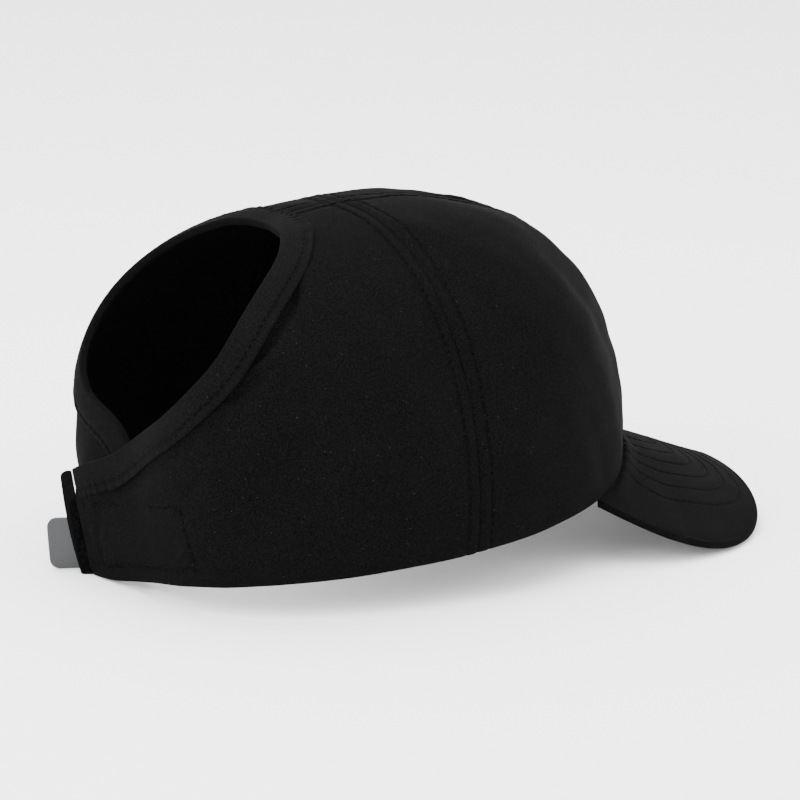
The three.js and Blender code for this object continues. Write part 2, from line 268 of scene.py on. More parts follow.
def giveWall(piece, thickness, outside):
    normal = np.empty(len(piece.data.vertices) * 3)
    piece.data.vertices.foreach_get("normal", normal)
    facing = (normal.reshape(-1, 3) * (readPoints(piece) - outside)).sum()
    if facing < 0:
        selectOnly(piece)
        bpy.ops.object.mode_set(mode="EDIT")
        bpy.ops.mesh.select_all(action="SELECT")
        bpy.ops.mesh.flip_normals()
        bpy.ops.object.mode_set(mode="OBJECT")
    selectOnly(piece)
    wall = piece.modifiers.new("wall", "SOLIDIFY")
    wall.thickness = thickness / 1000
    wall.offset = -1
    bpy.ops.object.modifier_apply(modifier=wall.name)


def finish(piece, material, slot, *nodes, angle=50):
    selectOnly(piece)
    bpy.ops.object.shade_smooth_by_angle(angle=math.radians(angle))
    piece.data.materials.clear()
    piece.data.materials.append(material)
    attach(piece, "root")
    if nodes:
        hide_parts(*nodes)
    return piece


# Shader groups
def newGroup(name, inputs, outputs):
    group = bpy.data.node_groups.new(name, "ShaderNodeTree")
    for label, value in inputs:
        socket = group.interface.new_socket(label, in_out="INPUT", socket_type="NodeSocketFloat")
        socket.default_value = value
    for label, kind in outputs:
        group.interface.new_socket(label, in_out="OUTPUT", socket_type=kind)
    return group, group.nodes.new("NodeGroupInput"), group.nodes.new("NodeGroupOutput")


def mathNode(tree, operation, *values):
    node = tree.nodes.new("ShaderNodeMath")
    node.operation = operation
    for socket, value in zip(node.inputs, values):
        if isinstance(value, (int, float)):
            socket.default_value = value
        else:
            tree.links.new(value, socket)
    return node.outputs[0]


def noiseNode(tree, vector, scale, detail=2.0, roughness=0.5):
    node = tree.nodes.new("ShaderNodeTexNoise")
    if isinstance(scale, (int, float)):
        node.inputs["Scale"].default_value = scale
    else:
        tree.links.new(scale, node.inputs["Scale"])
    node.inputs["Detail"].default_value = detail
    node.inputs["Roughness"].default_value = roughness
    tree.links.new(vector, node.inputs["Vector"])
    return node.outputs["Fac"]


# Brushed cloth: a fine grain of fibres, crossed by slow mottling.
brushed = {"grainSpread": 3.2, "mottleScale": 45, "mottleSpread": 0.35, "middle": 0.42}


def makeBrushedGroup():
    group, given, result = newGroup(
        "brushedCloth", [("Grain", 1500.0), ("Contrast", 1.0)],
        [("Height", "NodeSocketFloat"), ("Shade", "NodeSocketFloat")])
    place = group.nodes.new("ShaderNodeTexCoord").outputs["Object"]
    grain = noiseNode(group, place, given.outputs["Grain"], 3.0, 0.8)
    spread = mathNode(group, "MULTIPLY", mathNode(group, "SUBTRACT", grain, 0.5), given.outputs["Contrast"])
    mottle = mathNode(group, "SUBTRACT", noiseNode(group, place, brushed["mottleScale"], 3.0, 0.6), 0.5)
    shade = mathNode(group, "MULTIPLY_ADD", mottle, brushed["mottleSpread"], brushed["middle"])
    shade = mathNode(group, "ADD", mathNode(group, "MULTIPLY", spread, brushed["grainSpread"]), shade)
    group.links.new(grain, result.inputs["Height"])
    group.links.new(mathNode(group, "MAXIMUM", shade, 0.0), result.inputs["Shade"])
    return group


# Sparse specks of lint, and slow changes of gloss from handling.
lint = {"cellScale": 420, "dotSize": 0.08, "tone": (0.014, 0.014, 0.015)}


def makeWearGroup():
    group, given, result = newGroup(
        "lintAndHandling", [("Specks", 0.04), ("Patch size", 14.0)],
        [("Lint", "NodeSocketFloat"), ("Handling", "NodeSocketFloat")])
    place = group.nodes.new("ShaderNodeTexCoord").outputs["Object"]
    cells = group.nodes.new("ShaderNodeTexVoronoi")
    cells.inputs["Scale"].default_value = lint["cellScale"]
    group.links.new(place, cells.inputs["Vector"])
    colour = group.nodes.new("ShaderNodeSeparateColor")
    group.links.new(cells.outputs["Color"], colour.inputs[0])
    chosen = mathNode(group, "LESS_THAN", colour.outputs[0], given.outputs["Specks"])
    small = mathNode(group, "LESS_THAN", cells.outputs["Distance"], lint["dotSize"])
    group.links.new(mathNode(group, "MULTIPLY", chosen, small), result.inputs["Lint"])
    patches = noiseNode(group, place, given.outputs["Patch size"], 3.0)
    group.links.new(patches, result.inputs["Handling"])
    return group


brushedGroup = makeBrushedGroup()
wearGroup = makeWearGroup()


def useGroup(tree, group, values):
    node = tree.nodes.new("ShaderNodeGroup")
    node.node_tree = group
    for name, value in values.items():
        node.inputs[name].default_value = value
    return node


def mixColour(tree, share, first, second):
    node = tree.nodes.new("ShaderNodeMix")
    node.data_type = "RGBA"
    for name, value in (("Factor", share), ("A", first), ("B", second)):
        socket = node.inputs[name]
        if isinstance(value, tuple):
            socket.default_value = (*value, 1)
        else:
            tree.links.new(value, socket)
    return node.outputs["Result"]


def bumpNode(tree, height, distance, strength):
    node = tree.nodes.new("ShaderNodeBump")
    node.inputs["Distance"].default_value = distance
    node.inputs["Strength"].default_value = strength
    tree.links.new(height, node.inputs["Height"])
    return node.outputs["Normal"]


def clothMaterial(name, look):
    material = bpy.data.materials.new(name)
    material.use_nodes = True
    tree = material.node_tree
    shader = tree.nodes["Principled BSDF"]
    cloth = useGroup(tree, brushedGroup, {"Grain": look["grain"], "Contrast": look["contrast"]})
    wear = useGroup(tree, wearGroup, {"Specks": look["specks"]})
    base = mixColour(tree, cloth.outputs["Shade"], look["dark"], look["light"])
    base = mixColour(tree, wear.outputs["Lint"], base, lint["tone"])
    tree.links.new(base, shader.inputs["Base Color"])
    lowest = look["rough"] - look["roughSpread"] / 2
    rough = mathNode(tree, "MULTIPLY_ADD", wear.outputs["Handling"], look["roughSpread"], lowest)
    tree.links.new(rough, shader.inputs["Roughness"])
    shader.inputs["Specular IOR Level"].default_value = look["gloss"]
    shader.inputs["Sheen Weight"].default_value = look["sheen"]
    shader.inputs["Sheen Roughness"].default_value = 0.5
    tree.links.new(bumpNode(tree, cloth.outputs["Height"], 0.0004, look["relief"]), shader.inputs["Normal"])
    return material


plainCloth = {
    "dark": (0.0009, 0.0009, 0.00095), "light": (0.0036, 0.0036, 0.0038), "grain": 1500, "contrast": 1.0,
    "specks": 0.3, "rough": 0.9, "roughSpread": 0.14, "gloss": 0.02, "sheen": 0.0, "relief": 0.5,
}
crownCloth = clothMaterial("crownCloth", plainCloth)
billCloth = clothMaterial("billCloth", plainCloth)
bindingCloth = clothMaterial("bindingCloth", {**plainCloth, "rough": 0.88, "gloss": 0.025, "sheen": 0.001})
hookCloth = clothMaterial("hookCloth", {
    **plainCloth, "dark": (0.0002, 0.0002, 0.0002), "light": (0.002, 0.002, 0.002), "grain": 900,
    "contrast": 1.6, "specks": 0.0, "rough": 0.95, "sheen": 0.003, "relief": 1.0})


def threadMaterial():
    material = bpy.data.materials.new("sewingThread")
    material.use_nodes = True
    tree = material.node_tree
    shader = tree.nodes["Principled BSDF"]
    place = tree.nodes.new("ShaderNodeTexCoord").outputs["Object"]
    ply = noiseNode(tree, place, 2400, 1.0)
    tone = mixColour(tree, ply, (0.0003, 0.00035, 0.0004), (0.0019, 0.0021, 0.0023))
    tree.links.new(tone, shader.inputs["Base Color"])
    shader.inputs["Roughness"].default_value = 0.5
    shader.inputs["Specular IOR Level"].default_value = 0.01
    tree.links.new(bumpNode(tree, ply, 0.0001, 0.5), shader.inputs["Normal"])
    return material


def tabMaterial():
    material = bpy.data.materials.new("softTab")
    material.use_nodes = True
    tree = material.node_tree
    shader = tree.nodes["Principled BSDF"]
    wear = useGroup(tree, wearGroup, {"Specks": 0.02, "Patch size": 60})
    tone = mixColour(tree, wear.outputs["Handling"], (0.0085, 0.0095, 0.0105), (0.0125, 0.0135, 0.0145))
    tree.links.new(mixColour(tree, wear.outputs["Lint"], tone, (0.3, 0.3, 0.3)), shader.inputs["Base Color"])
    rough = mathNode(tree, "MULTIPLY_ADD", wear.outputs["Handling"], 0.25, 0.38)
    tree.links.new(rough, shader.inputs["Roughness"])
    grain = noiseNode(tree, tree.nodes.new("ShaderNodeTexCoord").outputs["Object"], 2600, 2.0)
    tree.links.new(bumpNode(tree, grain, 0.00008, 0.4), shader.inputs["Normal"])
    return material


sewingThread = threadMaterial()
softTab = tabMaterial()
print("materials made")

# Crown panels
panel = {
    "cols": 150, "rows": 186, "endCrowding": 0.6, "flapShare": 4 / 31, "edgeShare": 28 / 31,
    "needleGap": 4.7, "rowDent": 0.5, "rowWidth": 0.6, "grooveDepth": 0.6, "grooveWidth": 0.55,
    "puff": 0.25, "puffPlace": 2.4, "puffWidth": 1.7,
    "pucker": 0.08, "puckerLength": 6.3, "puckerPlace": 4.5, "puckerWidth": 3.5,
    "flatNearSeam": 3.5, "seamShare": 0.4, "flatNearEdge": (1, 12), "hemRoll": 0.7, "hemWidth": 1.2,
}
slowWaves = {"lift": 0.45, "size": 46, "fineShare": 0.35, "fineSize": 17}
patternScale = (1.6, 172)  # millimetres of the flat pattern for a degree and for a whole rise
centre = toRow(np.array([0, 0, 40.0]))
rises = np.linspace(0, 1, 400)


# The seams and edges that the relief of a panel follows.
def seamLines(side):
    share = np.linspace(0, 1, 500)
    turn, rise = fromPlan(openingAt(share, side))
    high = rises[rises > openingTables[1][-1][1]]
    return {
        "side": clothPoint(seamTurn(rises), rises, 0, side),
        "front": clothPoint(0 * rises, rises, 0, side),
        "back": clothPoint(180 + 0 * high, high, 0, side),
        "edge": clothPoint(turn, rise, 0, side),
        "rim": clothPoint(np.linspace(0, flap["footTurn"], 700), 0, 0, side),
    }


# How far the sewn cloth stands out of (or sinks below) the plain form.
def sewnRelief(points, side, seams, seed):
    lines = seamLines(side)
    lift = slowWaves["lift"] * unevenness(points, slowWaves["size"], seed)
    lift += slowWaves["fineShare"] * slowWaves["lift"] * unevenness(points, slowWaves["fineSize"], seed + 1)
    nearest = np.full(len(points), np.inf)
    for seam in seams:
        gap, along = beside(points, lines[seam])
        nearest = np.minimum(nearest, gap)
        lift += panel["puff"] * hump(gap, panel["puffPlace"], panel["puffWidth"])
        lift -= panel["rowDent"] * hump(gap, panel["needleGap"], panel["rowWidth"])
        wave = np.sin(along * 2 * math.pi / panel["puckerLength"] + 1.3 * np.sin(along / 9.0 + seed))
        lift += panel["pucker"] * wave * hump(gap, panel["puckerPlace"], panel["puckerWidth"])
    lift *= lerp(panel["seamShare"], 1, smooth(nearest, 0, panel["flatNearSeam"]))
    lift -= panel["grooveDepth"] * np.exp(-nearest / panel["grooveWidth"])
    lift -= panel["hemRoll"] * hump(beside(points, lines["rim"])[0], 0, panel["hemWidth"])
    return lift, lines["edge"]


# Crowds a panel's columns towards its two seams.
def crowded(s):
    return s - panel["endCrowding"] * np.sin(2 * math.pi * s) / (2 * math.pi)


def flatPattern(turn, rise):
    return np.stack([turn * patternScale[0], rise * patternScale[1]], -1)


def frontPlace(side):
    def place(s, v):
        turn = seamTurn(v) * crowded(s)
        base = clothPoint(turn, v, 0, side)
        lift = sewnRelief(base, side, ("side", "front"), 3 if side > 0 else 5)[0]
        return clothPoint(turn, v, -lift, side), flatPattern(turn, v)
    return place


# A back panel's rear edge from the rim up: the flap's end, the opening, the centre-back seam.
def rearEdge(v, side):
    foot = toPlan(flap["footTurn"], 0)
    first, second = panel["flapShare"], panel["edgeShare"]
    low = lerp(foot, openingAt(0), (v / first)[:, None])
    middle = openingAt(np.clip((v - first) / (second - first), 0, 1), side)
    high = openingAt(1) * ((1 - v) / (1 - second))[:, None]
    return np.where((v <= first)[:, None], low, np.where((v <= second)[:, None], middle, high))


# Fills a back panel in between its side seam, its rear edge, the rim and the apex.
def backPlan(s, v, side):
    left = toPlan(seamTurn(v), v)
    rim = toPlan(lerp(seamTurn(0), flap["footTurn"], s), 0)
    corner = lerp(toPlan(seamTurn(0), 0), toPlan(flap["footTurn"], 0), s[:, None])
    return lerp(left, rearEdge(v, side), s[:, None]) + (rim - corner) * (1 - v)[:, None]


def backPlace(side):
    def place(s, v):
        turn, rise = fromPlan(backPlan(crowded(s), v, side))
        turn = np.where(v > 1 - 1e-6, seamTurn(1), turn)
        base = clothPoint(turn, rise, 0, side)
        lift, edge = sewnRelief(base, side, ("side", "back"), 7 if side > 0 else 9)
        lift = lift * smooth(beside(base, edge)[0], *panel["flatNearEdge"])
        if side > 0:
            lift -= creaseDepth(base)
        return clothPoint(turn, rise, -lift, side), flatPattern(turn, rise)
    return place


# Creases of the right back panel: how deep, how wide (mm), and the line as turns and rises.
creases = [
    (2.6, 2.0, [(133.8, 0.575), (134.3, 0.535), (136.2, 0.511), (138, 0.485), (140.3, 0.469),
                (142.5, 0.455)]),
    (2.2, 2.6, [(137.6, 0.447), (140.4, 0.435), (143.4, 0.418), (146.9, 0.402)]),
    (1.2, 2.4, [(144.3, 0.388), (147.5, 0.38), (150.8, 0.363)]),
    (1.3, 2.8, [(150.7, 0.36), (158.2, 0.326), (165.4, 0.301), (176.2, 0.262), (183.5, 0.232)]),
    (-0.5, 3.0, [(128.4, 0.37), (136.5, 0.348), (144.4, 0.325), (153, 0.294)]),
    (0.7, 1.6, [(154.7, 0.252), (152.6, 0.275), (150.7, 0.291)]),
    (0.6, 1.4, [(181.3, 0.222), (183.5, 0.17), (182.7, 0.116), (181.9, 0.057)]),
    (0.6, 1.4, [(152.7, 0.076), (151.2, 0.028)]),
]
creaseEnd = {"fade": 5, "share": 0.3}
# The closure's stitched box: turns and rises of its corners, and how its stitches dent the cloth.
stitchedBox = {
    "corners": [(189, 0.214), (180, 0.234), (168, 0.241), (155.6, 0.242), (153, 0.074), (170, 0.074),
                (186.4, 0.056)],
    "dent": 0.75, "dentWidth": 0.6, "pucker": 0.12, "puckerWidth": 1.5,
}


def clothLine(rows, count=160):
    rows = np.array(rows, float)
    share = np.linspace(0, 1, len(rows))
    turn, rise = (np.interp(np.linspace(0, 1, count), share, rows[:, k]) for k in (0, 1))
    return clothPoint(turn, rise, 0, 1)


def creaseDepth(points):
    total = np.zeros(len(points))
    for depth, width, rows in creases:
        line = clothLine(rows)
        gap, along = beside(points, line)
        left = lengthsAlong(line)[-1] - along
        inside = smooth(along, 0, creaseEnd["fade"]) * smooth(left, 0, creaseEnd["fade"])
        total += depth * hump(gap, 0, width) * lerp(creaseEnd["share"], 1, inside)
    box = stitchedBox
    gap, along = beside(points, clothLine(box["corners"], 900))
    total += box["dent"] * hump(gap, 0, box["dentWidth"])
    return total + box["pucker"] * np.sin(along * 2.2) * hump(gap, box["puckerWidth"], box["puckerWidth"])


crownPieces = []
for side, word in ((1, "right"), (-1, "left")):
    for kind, place in (("front", frontPlace), ("back", backPlace)):
        name = kind + "Panel" + word.capitalize()
        piece = shapedGrid(name, panel["cols"], panel["rows"], place(side))
        closeUp(piece, fill=False)
        giveWall(piece, crown["wall"], centre)
        crownPieces.append(finish(piece, crownCloth, "crown_cloth", kind + "_panel_" + word))
print("crown panels sewn")

# Bill
bill = {
    "turn": 46.8, "width": 158, "length": 50, "thickness": 3, "droop": 20.8, "curl": 2.15,
    "slope": 0.46, "seat": 0.5, "cols": 260, "rows": 240, "edgeShare": 0.06, "flatEdge": 0.985,
    "rowCount": 6, "rowDent": 0.4, "rowWidth": 0.55, "padding": 0.14, "paddingSize": 22,
    "jointRoll": 2.6, "jointPlace": 1.6, "jointWidth": 2.2, "jointEnds": (0.55, 0.98),
    "jointPucker": 0.1, "puckerPlace": 1.2, "puckerWidth": 1.3,
}
billRows = {  # from the innermost row to the outermost
    "seamX": (11.7, 46.1), "wideX": (13.5, 58), "frontInset": (30, 8.3), "innerBend": 12, "bendY": -96,
    "roundness": 2.9,
}


# The bill's top face: across runs from one corner (-1) to the other (1), and out from the
# crown (0) to the bill's edge (1).
def billSurface(across, out):
    root = crownPoint(across * bill["turn"], 0 * across, crown["wall"])
    corner = crownPoint(bill["turn"], 0, crown["wall"])
    front = crownPoint(0, 0, crown["wall"])
    half = bill["width"] / 2
    sweep = math.pi - math.asin(min(abs(corner[0]) / half, 1))
    length = (corner[1] - front[1] + bill["length"]) / (1 - math.cos(sweep))
    x = lerp(root[..., 0], -half * np.sin(across * sweep), out)
    y = lerp(root[..., 1], corner[1] + length * (math.cos(sweep) - np.cos(across * sweep)), out)
    bend = lambda value: bill["droop"] * (np.abs(value) / half) ** bill["curl"]
    z = root[..., 2] - bill["seat"] - bill["slope"] * (root[..., 1] - y) - bend(x) + bend(root[..., 0])
    return np.stack([x, y, z], -1)


# A row of stitches seen from above, for a share of the way from the innermost row (0).
def billRowPath(share):
    seamX = lerp(*billRows["seamX"], share)
    wideX = lerp(*billRows["wideX"], share)
    frontY = crownPoint(0, 0, crown["wall"])[1] - bill["length"] + lerp(*billRows["frontInset"], share)
    bendY = lerp(frontY + billRows["innerBend"], billRows["bendY"], share)
    angle = np.linspace(0, math.pi / 2, 80)
    power = 2 / billRows["roundness"]
    x = wideX * np.cos(angle) ** power
    y = bendY + (frontY - bendY) * np.sin(angle) ** power
    turns = np.linspace(0, 60, 61)
    turn = np.interp(seamX, -crownPoint(turns, 0)[:, 0], turns)
    seamY = crownPoint(turn, 0)[1]
    leg = np.linspace(0, 1, 30)[:-1]
    x = np.concatenate([lerp(seamX, wideX, np.sin(leg * math.pi / 2)), x])
    y = np.concatenate([lerp(seamY, bendY, leg), y])
    half = np.stack([-x, y], -1)
    return np.vstack([half, half[-2::-1] * (-1, 1)])


billPaths = [billRowPath(k / (bill["rowCount"] - 1)) for k in range(bill["rowCount"])]


# The first half of the rows is the upper cover, and the second half the lower one, round the edge.
def billPlace(s, v):
    across = 2 * s - 1
    top, turned = 0.5 - bill["edgeShare"] / 2, 0.5 + bill["edgeShare"] / 2
    out = np.where(v < top, v / top, np.where(v > turned, (1 - v) / (1 - turned), 1.0))
    angle = np.clip((v - top) / (turned - top), 0, 1) * math.pi
    radius = bill["thickness"] / 2
    edge = billSurface(across, np.ones_like(out))
    root = billSurface(across, np.zeros_like(out))
    reach = np.hypot(edge[:, 0] - root[:, 0], edge[:, 1] - root[:, 1])
    inset = np.clip(radius / np.maximum(reach, radius), 0, 1)
    surface = billSurface(across, out * (1 - inset))
    outward = (edge - root)[:, :2] / np.maximum(reach, 1e-6)[:, None]
    points = surface.copy()
    points[:, :2] += outward * (np.sin(angle) * radius * (reach > radius))[:, None]
    lift = np.zeros(len(v))
    for path in billPaths:
        gap = beside(points[:, :2], pointsAlong(path, np.linspace(0, 1, 400)))[0]
        lift -= bill["rowDent"] * hump(gap, 0, bill["rowWidth"])
    lift += bill["padding"] * unevenness(points, bill["paddingSize"], 12)
    lift *= out < bill["flatEdge"]
    rim = crownPoint(np.linspace(-60, 60, 500), 0)[:, :2]
    gap, along = beside(points[:, :2], rim)
    roll = bill["jointRoll"] * hump(gap, bill["jointPlace"], bill["jointWidth"])
    wave = np.sin(along * 1.3 + np.sin(along / 5))
    roll += bill["jointPucker"] * wave * hump(gap, bill["puckerPlace"], bill["puckerWidth"])
    roll *= 1 - smooth(np.abs(across), *bill["jointEnds"])
    lift = np.where(v < 0.5, lift + roll, -lift)
    points[:, 2] += -radius + radius * np.cos(angle) + lift
    flat = np.stack([surface[:, 0], surface[:, 1]], -1)
    return points, flat


billPiece = shapedGrid("billBody", bill["cols"], bill["rows"], billPlace)
closeUp(billPiece)
finish(billPiece, billCloth, "bill_cloth", "bill")
print("bill shaped")

# Binding of the opening
binding = {
    "width": 10.5, "innerWidth": 5, "cloth": 0.65, "gap": 0.15, "noseReach": 1.45, "noseSquare": 0.55,
    "tipRadius": 0.3, "stations": 440, "planStep": 0.004, "squareFrom": 0.95, "edgeLength": 205,
    "stitchPlace": 7.9, "stitchDent": 0.45, "stitchDentWidth": 0.7, "camber": 0.3,
    "pucker": 0.16, "puckerLength": 5.7, "puckerWidths": (2.5, 10), "puckerRest": 0.45,
    "puckerTop": 1.2, "puckerTopPlace": (0.97, 0.1), "puckerEnd": 0.9, "puckerEndPlace": (0.1, 0.09),
}


# Places on the opening's edge in the plan, and the plan's step for a millimetre into the
# cloth, square to the edge on the crown itself. At the centre back it is square to the seam.
def bindingFrame(share, side):
    step = binding["planStep"]
    spot = openingAt(share, side)
    ahead = openingAt(np.minimum(share + step, 1), side)
    behind = openingAt(np.maximum(share - step, 0), side)
    along = (ahead - behind) / np.linalg.norm(ahead - behind, axis=1)[:, None]
    square = np.stack([-spot[:, 1], spot[:, 0]], -1)
    square /= np.linalg.norm(square, axis=1)[:, None]
    square *= np.sign((square * along).sum(1))[:, None]
    along = lerp(along, square, smooth(share, binding["squareFrom"], 1)[:, None])
    place = lambda where: clothPoint(*fromPlan(where), 0, side)
    here = place(spot)
    east = (place(spot + (step, 0)) - here) / step
    north = (place(spot + (0, step)) - here) / step
    run = east * along[:, :1] + north * along[:, 1:]
    into = np.cross(np.cross(east, north), run)
    into /= np.linalg.norm(into, axis=1)[:, None]
    a, b, c = ((p * q).sum(1) for p, q in ((east, east), (east, north), (north, north)))
    p, q = (into * east).sum(1), (into * north).sum(1)
    inward = np.stack([c * p - b * q, a * q - b * p], -1) / (a * c - b * b)[:, None]
    middle = toPlan(180, 0.5)
    wrong = ((middle - spot) * inward).sum(1) > 0
    return spot, np.where(wrong[:, None], -inward, inward)


def besideEdge(share, side, width, depth):
    spot, inward = bindingFrame(share, side)
    return clothPoint(*fromPlan(spot + inward * np.asarray(width)[:, None]), depth, side)


# The fold's outline as places beside the edge (width) and below the cloth's face (depth).
def bindingOutline():
    gap, cloth = binding["gap"], binding["cloth"]
    inner = crown["wall"] + gap
    centreDepth = crown["wall"] / 2
    angle = np.linspace(math.pi / 2, -math.pi / 2, 13)
    square = lambda value: math.copysign(abs(value) ** binding["noseSquare"], value)

    def nose(reach, wall, angles):
        depth = centreDepth + gap + wall
        return [(-reach * square(math.cos(a)), centreDepth - depth * square(math.sin(a))) for a in angles]

    outerWidths = np.linspace(binding["width"] - binding["tipRadius"], 0.6, 16)
    innerWidths = np.linspace(0.6, binding["innerWidth"], 6)
    outline = [(width, -gap - cloth) for width in outerWidths]
    outline += nose(binding["noseReach"], cloth, angle)
    outline += [(width, inner + cloth) for width in innerWidths]
    outline += [(width, inner) for width in innerWidths[::-1]]
    outline += nose(binding["noseReach"] - cloth, 0, angle[::-1])
    outline += [(width, -gap) for width in outerWidths[::-1]]
    outline += [(binding["width"], -gap - cloth * share) for share in (0.25, 0.5, 0.75)]
    return np.array(outline + outline[:1])


outlineBinding = bindingOutline()


# s runs round the fold's outline, and v from the right flap's end over the top to the left one's.
def bindingPlace(s, v):
    share = s * (len(outlineBinding) - 1)
    places = np.arange(len(outlineBinding))
    width = np.interp(share, places, outlineBinding[:, 0])
    depth = np.interp(share, places, outlineBinding[:, 1])
    station = 2 * v
    part = np.where(station <= 1, station, 2 - station)
    run = station * binding["edgeLength"]
    relief = binding["camber"] * np.sin(np.clip(width / binding["width"], 0, 1) * math.pi)
    relief -= binding["stitchDent"] * hump(width, binding["stitchPlace"], binding["stitchDentWidth"])
    wave = np.sin(run * 2 * math.pi / binding["puckerLength"] + 1.6 * np.sin(run / 11))
    strength = binding["puckerRest"] + binding["puckerTop"] * hump(part, *binding["puckerTopPlace"])
    strength += binding["puckerEnd"] * hump(part, *binding["puckerEndPlace"])
    relief += binding["pucker"] * wave * strength * smooth(width, *binding["puckerWidths"])
    depth = depth - np.where(depth < 0, relief, 0)
    points = np.empty((len(s), 3))
    for side, mine in ((1, station <= 1), (-1, station > 1)):
        points[mine] = besideEdge(part[mine], side, width[mine], depth[mine])
    return points, np.stack([run, share * 0.7], -1)


bindingPiece = shapedGrid("openingBinding", len(outlineBinding) - 1, binding["stations"], bindingPlace)
closeUp(bindingPiece)
finish(bindingPiece, bindingCloth, "binding_cloth", "opening_binding", angle=70)
print("binding folded on")

# Rear closure
closure = {  # a reach is how far a layer goes past the flap's end, at its foot and at its top
    "layerGap": 0.4, "tapeCloth": 0.9, "tapeLength": 52, "tapeReach": (2.2, 2.2), "facingCloth": 0.9,
    "facingReach": (3, 3.9), "facingTop": 30.5, "endSplay": 58, "height": 22, "hem": 0.3, "corner": 2.2,
    "underShare": 0.7, "stepUp": (0.4, 0.55), "cornerFrom": 0.6,
    "tabLength": 25.5, "tabSplay": 53, "tabBend": 5, "tabFoot": 8, "tabHeight": 16.5,
    "tabThickness": 1.2, "tabCorner": 3, "tabGap": 0.9, "tabEdge": 0.0003,
    "tabFlatShare": 0.8, "tabRoundShare": 0.97,
}
backLine = np.stack(section(180 + 0 * rises, rises), -1)
heights = np.hypot(*(backLine - backLine[0]).T)


def riseOf(height):
    return np.interp(height, heights, rises)


turnPerMillimetre = math.degrees(1 / section(np.array(180.0), riseOf(closure["height"] / 2))[0])


def flapEndTurn(rise):
    turn, top = fromPlan(openingAt(0))
    return lerp(flap["footTurn"], turn, rise / top)


# A layer under the flap. The first columns lie under it, and the others go past its end,
# where the layer may be taller and has a round corner.
def layerPlace(reaches, depth, endHeight):
    def place(s, v):
        under, cornerFrom = closure["underShare"], closure["cornerFrom"]
        past = np.maximum((s - under) / (1 - under), 0)
        height = lerp(closure["height"], endHeight, smooth(past, *closure["stepUp"]))
        turned = np.maximum((past - cornerFrom) / (1 - cornerFrom), 0)
        height -= closure["corner"] * (1 - np.sqrt(np.maximum(1 - turned ** 2, 0)))
        rise = lerp(riseOf(closure["hem"]), riseOf(height), v)
        reach = past * lerp(*reaches, v)
        stop = np.where(s < under, (s / under - 1) * closure["tapeLength"], reach)
        turn = flapEndTurn(rise) + stop * turnPerMillimetre
        splay = reach * math.tan(math.radians(closure["endSplay"]))
        return clothPoint(turn, rise, depth - splay, 1), np.stack([stop, v * height], -1)
    return place


tapeDepth = crown["wall"] + closure["layerGap"]
facingDepth = tapeDepth + closure["tapeCloth"] + closure["layerGap"]
tabDepth = facingDepth + closure["facingCloth"] + closure["tabGap"]
tapePlace = layerPlace(closure["tapeReach"], tapeDepth, closure["height"])
tape = shapedGrid("hookTape", 130, 46, tapePlace)
giveWall(tape, closure["tapeCloth"], centre)
finish(tape, hookCloth, "hook_tape", "hook_tape")
facingPlace = layerPlace(closure["facingReach"], facingDepth, closure["facingTop"])
facing = shapedGrid("flapFacing", 130, 60, facingPlace)
giveWall(facing, closure["facingCloth"], centre)
finish(facing, bindingCloth, "binding_cloth", "flap_facing")


# The tab follows the flap from its foot, bends away from the head, and ends in round corners.
def tabPlace(s, v):
    size = closure
    flat = size["tabFlatShare"]
    middle = riseOf(size["hem"] + size["tabHeight"] / 2)
    leaveTurn = flapEndTurn(middle)
    footTurn = leaveTurn - size["tabFoot"] * turnPerMillimetre
    foot = clothPoint(footTurn, middle, 0, 1)
    along = clothPoint(leaveTurn, middle, 0, 1) - foot
    along /= np.linalg.norm(along)
    out = foot - clothPoint(footTurn, middle, 1, 1)
    flatEnd = size["tabLength"] - size["tabCorner"]
    fine = np.linspace(0, size["tabLength"], 400)
    lean = np.radians(size["tabSplay"]) * smooth(fine, size["tabFoot"], size["tabFoot"] + size["tabBend"])
    forward = np.concatenate([[0], np.cumsum(np.cos(lean[1:]) * np.diff(fine))])
    sideways = np.concatenate([[0], np.cumsum(np.sin(lean[1:]) * np.diff(fine))])
    corner = size["tabCorner"] * np.sin((s - flat) / (1 - flat) * math.pi / 2 * size["tabRoundShare"])
    stop = np.where(s < flat, s / flat * flatEnd, flatEnd + corner)
    past = np.maximum(stop - flatEnd, 0)
    trim = size["tabCorner"] - np.sqrt(np.maximum(size["tabCorner"] ** 2 - past ** 2, 0))
    height = size["hem"] + size["tabHeight"] / 2 + (size["tabHeight"] / 2 - trim) * (2 * v - 1)
    point = clothPoint(footTurn, riseOf(height), tabDepth, 1)
    point += np.interp(stop, fine, forward)[:, None] * along + np.interp(stop, fine, sideways)[:, None] * out
    return point, np.stack([stop, height], -1)


tab = shapedGrid("pullTab", 36, 24, tabPlace)
giveWall(tab, closure["tabThickness"], centre)
selectOnly(tab)
soften = tab.modifiers.new("soften", "BEVEL")
soften.width, soften.segments, soften.angle_limit = closure["tabEdge"], 2, math.radians(50)
bpy.ops.object.modifier_apply(modifier=soften.name)
finish(tab, softTab, "soft_tab", "pull_tab")
print("closure laid")

# Stitches
stitch = {
    "length": 2.0, "pitch": 3.0, "width": 0.46, "sink": 0.07, "startOut": 1.5,
    "seamRises": (0.012, 0.93), "frontRises": (0.012, 0.95), "backRises": (0.77, 0.93),
    "bindingPitch": 2.8, "bindingFrom": 0.015, "bindingOut": 2.4, "billOut": 1.2,
}
bpy.ops.object.select_all(action="DESELECT")
bpy.ops.mesh.primitive_uv_sphere_add(segments=8, ring_count=5, radius=0.5)
stitchModel = bpy.context.object
stitchModel.name = "stitchModel"


def surfaceOf(*pieces):
    trees = []
    for piece in pieces:
        polygons = [tuple(p.vertices) for p in piece.data.polygons]
        trees.append(BVHTree.FromPolygons([v.co for v in piece.data.vertices], polygons))
    return trees


